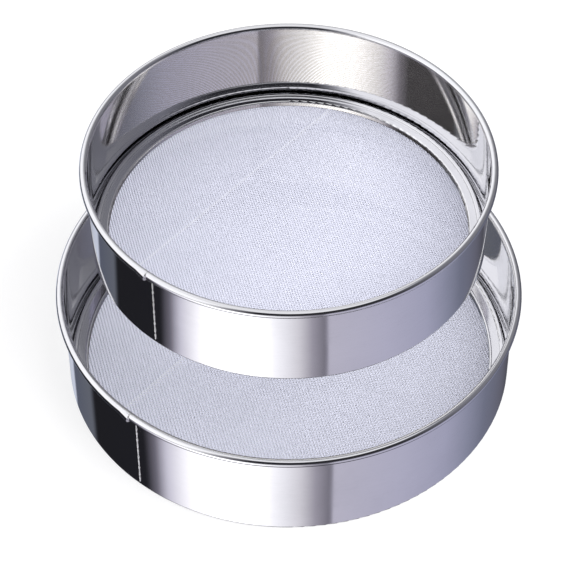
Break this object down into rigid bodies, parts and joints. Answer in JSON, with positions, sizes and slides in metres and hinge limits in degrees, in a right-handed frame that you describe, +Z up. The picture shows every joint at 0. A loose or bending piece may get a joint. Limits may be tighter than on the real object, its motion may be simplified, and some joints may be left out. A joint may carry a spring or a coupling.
{
  "type": "double sieve strainer",
  "caption": "Pair of round polished steel strainers with fine wire cloth bases; the smaller lifts straight up out of the larger one.",
  "frame": {"origin": "middle of the face that the larger strainer stands on", "axes": "+Z up along the axis of both strainers, -Y to the front, with the welded seam 40 degrees left of the front"},
  "size_m": [0.3, 0.3, 0.1791],
  "materials": {
    "polished_sheet": "mirror polished stainless sheet",
    "polished_ring": "polished pressed stainless ring",
    "wire_cloth": "woven stainless wire cloth",
    "rim_wire": "drawn steel wire",
    "satin_ring": "satin stainless strip",
    "weld_bead": "dressed weld metal"
  },
  "bodies": {
    "lower_sieve": {"lower_wall": "polished_sheet", "lower_rim_wire": "rim_wire", "lower_curl_sleeve": "polished_sheet", "lower_seam_weld": "weld_bead", "lower_press_ring": "polished_ring", "lower_mesh_warp": "wire_cloth", "lower_mesh_weft": "wire_cloth", "lower_clamp_ring": "satin_ring", "lower_spot_welds": "weld_bead"},
    "upper_sieve": {"upper_wall": "polished_sheet", "upper_rim_wire": "rim_wire", "upper_curl_sleeve": "polished_sheet", "upper_seam_weld": "weld_bead", "upper_press_ring": "polished_ring", "upper_mesh_warp": "wire_cloth", "upper_mesh_weft": "wire_cloth", "upper_clamp_ring": "satin_ring", "upper_spot_welds": "weld_bead"}
  },
  "joints": [
    {"name": "upper_lift", "type": "slide", "parent": "lower_sieve", "child": "upper_sieve", "axis": [0, 0, 1], "range_m": [-0.114, 0.04]}
  ]
}
